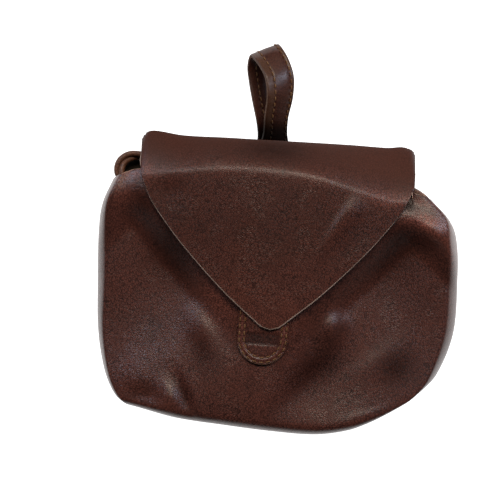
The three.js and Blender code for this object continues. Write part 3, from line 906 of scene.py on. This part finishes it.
def leather(name, colors, grain, roughness, bump, shine):
    """Pebbled leather: light pebbles between dark creases, mottled, with a grain in millimetres."""
    material, tree = new_material(name)
    place = add_node(tree, "ShaderNodeTexCoord", {})["Object"]
    pebble = mixed_pebbles(tree, place, grain)
    fine = noise(tree, place, FINE_GRAIN["fineness"] / (grain * MM), FINE_GRAIN["detail"])["Fac"]
    height = multiply_add(tree, fine, FINE_GRAIN["height"], pebble)
    mottle = noise(tree, place, **MOTTLE)["Fac"]
    patches = scaled(tree, mottle, NOISE_RANGE, (0, MOTTLE_TONE))
    tone = multiply_add(tree, pebble, PEBBLE_TONE, patches)
    glosses = (roughness + MOTTLE_GLOSS, roughness - MOTTLE_GLOSS)
    surface = {
        "Base Color": toned_color(tree, tone, (0, 1), colors),
        "Roughness": scaled(tree, mottle, NOISE_RANGE, glosses),
        "Specular IOR Level": shine,
        "Normal": relief(tree, height, bump, RELIEF_DEPTH),
    }
    fill_inputs(tree, tree.nodes["Principled BSDF"], surface)
    return material


def fibrous(name, colors, scale, roughness):
    """Cut leather edge, suede inside or spun thread: soft streaks of two colours with a fine nap."""
    material, tree = new_material(name)
    place = add_node(tree, "ShaderNodeTexCoord", {})["Object"]
    fibres = noise(tree, place, scale, FIBRE_DETAIL)["Fac"]
    surface = {
        "Base Color": toned_color(tree, fibres, NOISE_RANGE, colors),
        "Roughness": roughness,
        "Specular IOR Level": FIBRE_SHINE,
        "Normal": relief(tree, fibres, NAP["strength"], NAP["depth"]),
    }
    fill_inputs(tree, tree.nodes["Principled BSDF"], surface)
    return material


def loop_leathers(name, colors):
    """Leathers of the loop in two colours, one for each row of its finishes, with reflections dimmer
    towards the shaded root.
    """
    finishes = zip(LOOP_SHADED_FINISH["roughness"], LOOP_SHADED_FINISH["shine"])
    return [
        leather(f"{name}_{row}", colors, roughness=roughness, shine=shine, **LOOP_GRAIN)
        for row, (roughness, shine) in enumerate(finishes)
    ]


def flap_leather(row):
    """Leather of one row of the flap's finishes, with less grain where it is more worn."""
    worn = FLAP_FINISH["worn"][row]
    colors = lerp(np.array(FLAP_COLORS), np.array(FLAP_WORN_COLOR), worn)
    grain = {**BODY_GRAIN, "bump": BODY_GRAIN["bump"] * (1 - worn)}
    return leather(f"flap_leather_{row}", colors, shine=FLAP_FINISH["shine"][row], **grain)


# Copies of the body leather, with dimmer reflections where shade is painted in the hollows
BODY_LEATHERS = [
    leather(f"body_leather_{row}", BODY_COLORS, shine=shine, **BODY_GRAIN)
    for row, shine in enumerate(POUCH_SHADE_SHINE["shine"])
]
FLAP_LEATHERS = [flap_leather(row) for row in range(len(FLAP_FINISH["shine"]))]
LOOP_LEATHERS = loop_leathers("loop_leather", LOOP_COLORS)
MARGIN_LEATHERS = loop_leathers("margin_leather", MARGIN_COLORS)
CORD_LEATHER = leather("cord_leather", CORD_COLORS, **CORD_GRAIN)
FIBRES = [fibrous(name, *row) for name, row in FIBROUS.items()]
INSIDE_LEATHER, CUT_EDGE, FLAP_CUT_EDGE, LOOP_EDGE, THREAD = FIBRES

# Pouch


def build_pouch():
    ease = 1 - np.cos(np.linspace(0, math.pi / 2, POUCH_RIM_COLUMNS, endpoint=False))
    rim = POUCH_RIM_SHARE * ease
    middle = np.linspace(POUCH_RIM_SHARE, 1 - POUCH_RIM_SHARE, POUCH_COLUMNS)
    share = np.concatenate([rim, middle, 1 - rim[::-1]])
    foot = FRONT_BOTTOM_LEVEL * ease
    level = np.concatenate([foot, np.linspace(FRONT_BOTTOM_LEVEL, 1, POUCH_ROWS)])[:, None]
    front = pouch_front(share[None, :], level)
    back = pouch_back(share[None, ::-1], level)
    points = np.concatenate([front, back[:, 1:]], 1).reshape(-1, 3)
    points, faces = weld(points, grid_quads(2 * (len(share) - 1), len(level) - 1))
    points, faces, parts = thicken(points, faces, POUCH_WALL, POUCH_BEVEL)
    # Painted shade in the hollows and painted highlights on lit places
    tone = 1 + fold_height(POUCH_PAINTED_LIGHT, points[:, 0], points[:, 1])
    parts = finish_outer(parts, POUCH_SHADE_SHINE["from_tone"], tone, faces)
    leathers = [*BODY_LEATHERS, INSIDE_LEATHER, CUT_EDGE]
    piece = add_piece("pouch_shell", points, faces, parts, leathers, tone)
    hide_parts("pouch")
    return piece


# Flap


def flap_plan(aside, drop):
    return turned(FLAP_MIDDLE, FLAP_TURN, aside, -drop)


def flap_front_height(aside, drop):
    fall = FLAP_CREST["fall"] * aside**2
    bow = FLAP_CREST["bow"] * (drop - FLAP_CREST["bow_at"]) ** 2
    return FLAP_CREST["z"] - fall - bow


def flap_back_height(aside, drop):
    return back_height(flap_plan(aside, drop)[1]) - PIECE_GAP - FLAP_THICKNESS


def flap_points(across, along):
    """Outer face of the flap: across from -1 to 1, along from its root on the back to its front edge."""
    aside = across * FLAP_HALF_WIDTH
    back_aside = across * FLAP_BACK_HALF_WIDTH
    depth, flare, line_z = read_columns(FLAP_ROLL, aside, "depth flare line_z")
    edge_drop = read_table(FLAP_EDGE, np.abs(aside), "drop")
    quarter = math.pi / 2
    end_angle = np.arcsin(np.maximum(0, 1 - edge_drop / depth) ** (1 / FLAP_ROLL_SHARPNESS))
    back_run = FLAP_ROOT_DROP - FLAP_BACK_RADIUS
    back_arc = quarter * np.hypot(FLAP_BACK_RADIUS, line_z) * math.sqrt(0.5)
    front_arc = (quarter - end_angle) * np.hypot(depth, FLAP_CREST["z"] - line_z) * math.sqrt(0.5)
    front_run = np.maximum(0, edge_drop - depth)
    run = along * (back_run + back_arc + front_arc + front_run)
    into_back_arc = run - back_run
    into_front_arc = into_back_arc - back_arc
    into_front = into_front_arc - front_arc

    back_drop = FLAP_ROOT_DROP - run
    back_z = flap_back_height(back_aside, back_drop)

    back_angle = quarter * into_back_arc / back_arc
    back_arc_aside = lerp(aside, back_aside, np.cos(back_angle))
    back_arc_drop = FLAP_BACK_RADIUS - (FLAP_BACK_RADIUS + flare) * np.sin(back_angle)
    back_arc_z = lerp(line_z, flap_back_height(back_aside, FLAP_BACK_RADIUS), np.cos(back_angle))

    front_angle = quarter - (quarter - end_angle) * into_front_arc / front_arc
    front_arc_drop = depth - (depth + flare) * np.abs(np.sin(front_angle)) ** FLAP_ROLL_SHARPNESS
    front_share = np.abs(np.cos(front_angle)) ** FLAP_ROLL_SHARPNESS
    front_arc_z = lerp(line_z, flap_front_height(aside, depth), front_share)

    front_drop = depth + into_front
    folds = fold_height(FLAP_FOLDS, aside, -front_drop) * smooth_step(into_front, 0, FLAP_FOLDS_FADE)
    front_z = flap_front_height(aside, front_drop) + folds

    stretches = [into_back_arc <= 0, into_front_arc <= 0, into_front <= 0]
    flat_aside = np.select(stretches, [back_aside, back_arc_aside, aside], aside)
    flat_drop = np.select(stretches, [back_drop, back_arc_drop, front_arc_drop], front_drop)
    z = np.select(stretches, [back_z, back_arc_z, front_arc_z], front_z)
    x, y = flap_plan(flat_aside, flat_drop)
    return np.stack([x, y, z], -1)


def past_crest(points):
    """How far points of the flap lie below its crest in plan."""
    right = points[..., 0] - FLAP_MIDDLE[0]
    below = FLAP_MIDDLE[1] - points[..., 1]
    aside, drop = turned((0, 0), FLAP_TURN, right, below)
    return drop - read_table(FLAP_ROLL, aside, "depth")


def crest_highlight(points):
    """How much lighter the flap is near its crest, as a painted highlight."""
    past = past_crest(points)
    reach = np.where(past > 0, CREST_HIGHLIGHT["below"], CREST_HIGHLIGHT["above"])
    return CREST_HIGHLIGHT["tone"] * soft_peak(past, 0, reach)


def round_crest(rows):
    """Rows of the flap's points with the ridge along the crest evened out."""
    near = soft_peak(past_crest(rows), 0, CREST_ROUND["reach"])[..., None]
    for _ in range(CREST_ROUND["passes"]):
        even = rows.copy()
        even[1:-1] = (rows[:-2] + 2 * rows[1:-1] + rows[2:]) / 4
        rows = lerp(rows, even, near)
    return rows


def build_flap(pouch):
    across = np.linspace(1, -1, FLAP_COLUMNS + 1)[None, :]
    along = np.linspace(0, 1, FLAP_ROWS + 1)[:, None]
    rows = round_crest(flap_points(across, along))
    outer_points = rows.reshape(-1, 3)
    outer_faces = grid_quads(FLAP_COLUMNS, FLAP_ROWS)
    points, faces, parts = thicken(outer_points, outer_faces, FLAP_THICKNESS, FLAP_BEVEL)
    # Painted shade on the flap's upper part and in places, and painted highlights in places and along the
    # crest
    lower = 1 - smooth_step(points[:, 1], FLAP_UPPER_SHADE["tip_y"], FLAP_UPPER_SHADE["upper_y"])
    tone = lerp(FLAP_UPPER_SHADE["upper"], FLAP_UPPER_SHADE["tip"], lower)
    tone = tone + fold_height(FLAP_PAINTED_LIGHT, points[:, 0], points[:, 1]) + crest_highlight(points)
    parts = finish_outer(parts, FLAP_FINISH["from_past"], past_crest(points), faces)
    leathers = [*FLAP_LEATHERS, INSIDE_LEATHER, FLAP_CUT_EDGE]
    piece = add_piece("flap_sheet", points, faces, parts, leathers, tone)
    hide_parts("flap")


# Wrist loop


def loop_rails(places):
    """Left and right edge curves of the band's outer face."""
    roll = np.radians(LOOP_STATIONS["roll"])
    skew = np.radians(LOOP_STATIONS["skew"])
    middle = path_points(LOOP_STATIONS)
    level = np.cos(roll)
    reach = LOOP_WIDTH / 2 * np.stack([level * np.cos(skew), level * np.sin(skew), -np.sin(roll)], -1)
    return curve_points(middle - reach, places), curve_points(middle + reach, places)


def loop_shade(points):
    """Painted shade along the loop, darker towards its root and on its back strand."""
    lit = smooth_step(points[:, 1], LOOP_ROOT_SHADE["from_y"], LOOP_ROOT_SHADE["to_y"])
    high = smooth_step(points[:, 2], LOOP_BACK["from_z"], LOOP_BACK["to_z"])
    return lerp(LOOP_ROOT_SHADE["tone"], 1, lit) * lerp(LOOP_BACK["tone"], 1, high)


def build_loop():
    left, right = loop_rails(np.linspace(0, 1, LOOP_STEPS + 1))
    middle = (left + right) / 2
    half = (right - left) / 2
    ahead = unit(np.gradient(middle, axis=0))
    outward = unit(np.cross(half, ahead))
    face_share = LOOP_SECTION["share"]
    face_depth = LOOP_SECTION["depth"]
    under_depth = LOOP_THICKNESS - face_depth[::-1]
    edge_depth = LOOP_THICKNESS / 2
    share = np.concatenate([face_share, [LOOP_CUT["middle"]], face_share[::-1], [-LOOP_CUT["middle"]]])
    depth = np.concatenate([face_depth, [edge_depth], under_depth, [edge_depth]])
    rings = middle[:, None] + share[:, None] * half[:, None] - depth[:, None] * outward[:, None]
    points = rings.reshape(-1, 3)
    sides = len(share)
    faces = tube_faces(LOOP_STEPS + 1, sides)[:, ::-1]
    corners = share[faces % sides]
    cut = (np.abs(corners) > LOOP_CUT["from"]).all(1)
    margin = (corners < LOOP_MARGIN_SHARES[0]).all(1) | (corners > LOOP_MARGIN_SHARES[1]).all(1)
    outer = (faces % sides < len(face_share)).all(1)
    finish = finish_rows(LOOP_SHADED_FINISH["from_y"], points[:, 1], faces)
    finishes = len(LOOP_LEATHERS)
    parts = np.select([cut, margin & outer], [2 * finishes, finishes + finish], finish)
    leathers = [*LOOP_LEATHERS, *MARGIN_LEATHERS, LOOP_EDGE]
    piece = add_piece("wrist_band", points, faces, parts, leathers, loop_shade(points))
    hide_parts("wrist_loop")
    rows = []
    for stitch_share in LOOP_STITCH_SHARES:
        line = middle + stitch_share * half
        rows.append(stitch_row(line - LOOP_STITCH_SINK * outward, outward))
        rows.append(stitch_row(line - (LOOP_THICKNESS - LOOP_STITCH_SINK) * outward, -outward))
    points, faces = join_parts(rows)
    thread = add_piece("wrist_band_thread", points, faces, 0, [THREAD], loop_shade(points))


# Patch


def patch_edge_distance(aside, upright):
    """Distance of a place on the patch from its sides and round end."""
    round_end = PATCH_RADIUS - np.hypot(aside, upright)
    return np.where(upright < 0, round_end, PATCH_RADIUS - np.abs(aside))


def patch_bar(aside, upright):
    """1 in the pressed bar, 0 outside it."""
    soft = PATCH_BAR["soft"]
    level = smooth_step(PATCH_BAR["half_width"] - np.abs(aside), -soft, soft)
    return level * smooth_step(PATCH_BAR["half_height"] - np.abs(upright), -soft, soft)


def patch_ridge(inset):
    return soft_peak(inset, PATCH_RIDGE["inset"], PATCH_RIDGE["width"])


def patch_tone(aside, upright):
    # Painted highlight: the pale line under the pressed bar
    line_y = -PATCH_BAR["half_height"] - PATCH_LINE_HIGHLIGHT["below"]
    line = soft_peak(upright, line_y, PATCH_LINE_HIGHLIGHT["width"]) * (np.abs(aside) < PATCH_BAR["half_width"])
    inset = patch_edge_distance(aside, upright)
    ridge = patch_ridge(inset)
    dark = (1 - PATCH_BAR["tone"]) * patch_bar(aside, upright)
    return 1 - dark + PATCH_LINE_HIGHLIGHT["tone"] * line + PATCH_RIDGE["tone"] * ridge


def patch_surface(aside, upright):
    x, y = turned(PATCH_MIDDLE, PATCH_TURN, aside, upright)
    inset = patch_edge_distance(aside, upright)
    z = pouch_front_height(x, y) + PIECE_GAP + PATCH_THICKNESS
    z = z - PATCH_BAR["depth"] * patch_bar(aside, upright)
    z = z + PATCH_RIDGE["height"] * patch_ridge(inset)
    for row_inset in PATCH_STITCH_INSETS:
        z = z - PATCH_GROOVE["depth"] * soft_peak(inset, row_inset, PATCH_GROOVE["width"])
    return np.stack([x, y, z], -1)


def patch_stitch_path(inset):
    """Path of a stitch row at an inset: down one side, round the end and up the other side."""
    radius = PATCH_RADIUS - inset
    top = PATCH_STRAIGHT - PATCH_STITCH_PATH["short_of_top"]
    down = np.linspace(top, 0, PATCH_STITCH_PATH["side_points"])
    turn = np.linspace(math.pi, 2 * math.pi, PATCH_STITCH_PATH["round_points"])[1:]
    up = down[-2::-1]
    left = np.full_like(down, -radius)
    right = np.full_like(up, radius)
    aside = np.concatenate([left, radius * np.cos(turn), right])
    upright = np.concatenate([down, radius * np.sin(turn), up])
    return aside, upright


def build_patch():
    column = np.linspace(0, 1, PATCH_COLUMNS + 1)[None, :]
    row = np.linspace(0, 1, PATCH_ROWS + 1)[:, None]
    aside = PATCH_RADIUS * np.sin(math.pi * (column - 0.5))
    lowest = -np.sqrt(np.maximum(0, PATCH_RADIUS**2 - aside**2))
    upright = lerp(lowest, PATCH_STRAIGHT, row)
    aside = np.broadcast_to(aside, upright.shape)
    points = patch_surface(aside, upright).reshape(-1, 3)
    solid = thicken(points, grid_quads(PATCH_COLUMNS, PATCH_ROWS), PATCH_THICKNESS, PATCH_BEVEL)
    tone = np.ones(len(solid[0]))
    tone[: len(points)] = patch_tone(aside, upright).ravel()
    piece = add_piece("front_patch", *solid, [BODY_LEATHERS[-1], INSIDE_LEATHER, CUT_EDGE], tone)
    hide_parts("patch")
    rows = []
    for inset in PATCH_STITCH_INSETS:
        line = patch_surface(*patch_stitch_path(inset))
        rows.append(stitch_row(line, np.broadcast_to([0.0, 0.0, 1.0], line.shape)))
    points, faces = join_parts(rows)
    thread = add_piece("patch_thread", points, faces, 0, [THREAD])


# Drawcord


def carried_frames(points):
    """Two crossways directions at each point of a path, carried along it without turning."""
    ahead = unit(np.gradient(points, axis=0))
    across = [unit(np.cross(ahead[0], [0.0, 0.0, 1.0]))]
    for direction in ahead[1:]:
        across.append(unit(across[-1] - direction * np.dot(across[-1], direction)))
    across = np.array(across)
    return across, np.cross(ahead, across)


def build_drawcord():
    dense = curve_points(path_points(CORD_PATH), np.linspace(0, 1, CORD_MEASURE_STEPS))
    lengths = path_lengths(dense)
    places = np.linspace(0, lengths[-1], CORD_STEPS + 1)
    middle = along_path(dense, lengths, places)
    across, up = carried_frames(middle)
    orbit = CORD_RADIUS - CORD_STRAND_RADIUS
    radius = np.full(len(places), CORD_STRAND_RADIUS)
    strands = []
    for start in (0, math.pi):
        twist = (start + 2 * math.pi * (places - CORD_SIDE_BY_SIDE) / CORD_PITCH)[:, None]
        line = middle + orbit * (across * np.cos(twist) + up * np.sin(twist))
        one, two = carried_frames(line)
        rings = tube_rings(line, one, two, radius, CORD_SIDES)
        strands.append((rings, tube_faces(CORD_STEPS + 1, CORD_SIDES)[:, ::-1]))
    points, faces = join_parts(strands)
    piece = add_piece("twisted_drawcord", points, faces, 0, [CORD_LEATHER])
    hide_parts("drawcord")


build_flap(build_pouch())
build_loop()
build_patch()
build_drawcord()

# Floor, light and camera


def area_light(name, place, size, power, color):
    lamp = bpy.data.lights.new(name, "AREA")
    lamp.shape = "RECTANGLE"
    lamp.size = size[0] * MM
    lamp.size_y = size[1] * MM
    lamp.energy = power
    lamp.color = color
    light = add_object(name, lamp)
    light.location = Vector(place) * MM
    direction = (Vector(LIGHT_TARGET) - Vector(place)).normalized()
    light.rotation_euler = direction.to_track_quat("-Z", "Y").to_euler()


def build_floor():
    reach = FLOOR["reach"] * MM
    height = -FLOOR["drop"] * MM
    corners = [(x * reach, y * reach, height) for x, y in ((-1, -1), (1, -1), (1, 1), (-1, 1))]
    mesh = bpy.data.meshes.new("floor")
    mesh.from_pydata(corners, [], [(0, 1, 2, 3)])
    material, tree = new_material("floor_white")
    surface = {
        "Base Color": (FLOOR["grey"], FLOOR["grey"], FLOOR["grey"], 1),
        "Roughness": FLOOR["roughness"],
        "Emission Color": (1, 1, 1, 1),
        "Emission Strength": FLOOR["glow"],
    }
    fill_inputs(tree, tree.nodes["Principled BSDF"], surface)
    mesh.materials.append(material)
    floor = add_object("floor", mesh)


def build_world():
    world = bpy.data.worlds.new("studio")
    bpy.context.scene.world = world
    world.use_nodes = True
    tree = world.node_tree
    place = add_node(tree, "ShaderNodeTexCoord", {})["Generated"]
    height = add_node(tree, "ShaderNodeSeparateXYZ", {"Vector": place})["Z"]
    sky = color_ramp(tree, height, SKY["height"], np.outer(SKY["brightness"], SKY_TINT))
    fill_inputs(tree, tree.nodes["Background"], {"Color": sky})


def build_camera():
    lens = bpy.data.cameras.new("camera")
    lens.sensor_width = CAMERA_SENSOR
    lens.lens = CAMERA_LENS
    lens.clip_start = CAMERA_CLIP * MM
    camera = add_object("camera", lens)
    camera.location = Vector(CAMERA_PLACE) * MM
    bpy.context.scene.camera = camera


build_floor()
build_world()
for name, softbox in SOFTBOXES.items():
    area_light(name, *softbox)
build_camera()
bpy.context.scene.view_settings.view_transform = "Standard"
